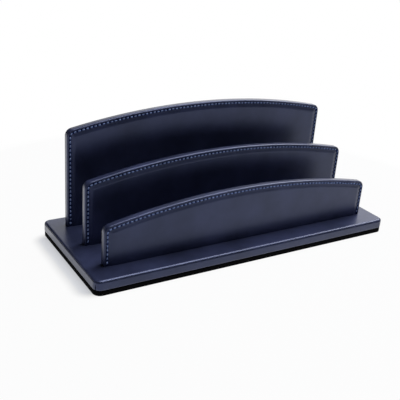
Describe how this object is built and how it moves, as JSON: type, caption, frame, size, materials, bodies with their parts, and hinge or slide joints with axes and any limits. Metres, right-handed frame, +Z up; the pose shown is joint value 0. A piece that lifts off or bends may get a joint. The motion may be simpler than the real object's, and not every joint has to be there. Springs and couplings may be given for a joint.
{
  "type": "document sorter",
  "caption": "Leather-covered document sorter: crowned upright dividers, stepped from low in front to high behind, stand on a felt-bottomed base and hold papers between them.",
  "frame": {"origin": "on the surface it stands on, under the middle of the base", "axes": "+X along the dividers to the right as seen from the front, +Y from the low front divider to the high rear one, +Z up"},
  "size_m": [0.275, 0.11, 0.1053],
  "materials": {
    "navy_leather": "satin, fine smooth grain",
    "navy_thread": "twisted polyester sewing thread",
    "black_felt": "matt pressed felt",
    "fibreboard": "raw fibreboard",
    "grey_card": "plain greyboard",
    "screw_steel": "zinc plated"
  },
  "bodies": {
    "root": {"base_felt": "black_felt", "base_edge_leather": "navy_leather", "base_infill_card": "grey_card", "base_board": "fibreboard", "base_top_leather": "navy_leather", "front_divider_core": "fibreboard", "front_divider_face_leather": "navy_leather", "front_divider_back_leather": "navy_leather", "front_divider_needle_thread": "navy_thread", "front_divider_bobbin_thread": "navy_thread", "front_divider_screws": "screw_steel", "middle_divider_core": "fibreboard", "middle_divider_face_leather": "navy_leather", "middle_divider_back_leather": "navy_leather", "middle_divider_needle_thread": "navy_thread", "middle_divider_bobbin_thread": "navy_thread", "middle_divider_screws": "screw_steel", "rear_divider_core": "fibreboard", "rear_divider_face_leather": "navy_leather", "rear_divider_back_leather": "navy_leather", "rear_divider_needle_thread": "navy_thread", "rear_divider_bobbin_thread": "navy_thread", "rear_divider_screws": "screw_steel"}
  },
  "joints": []
}
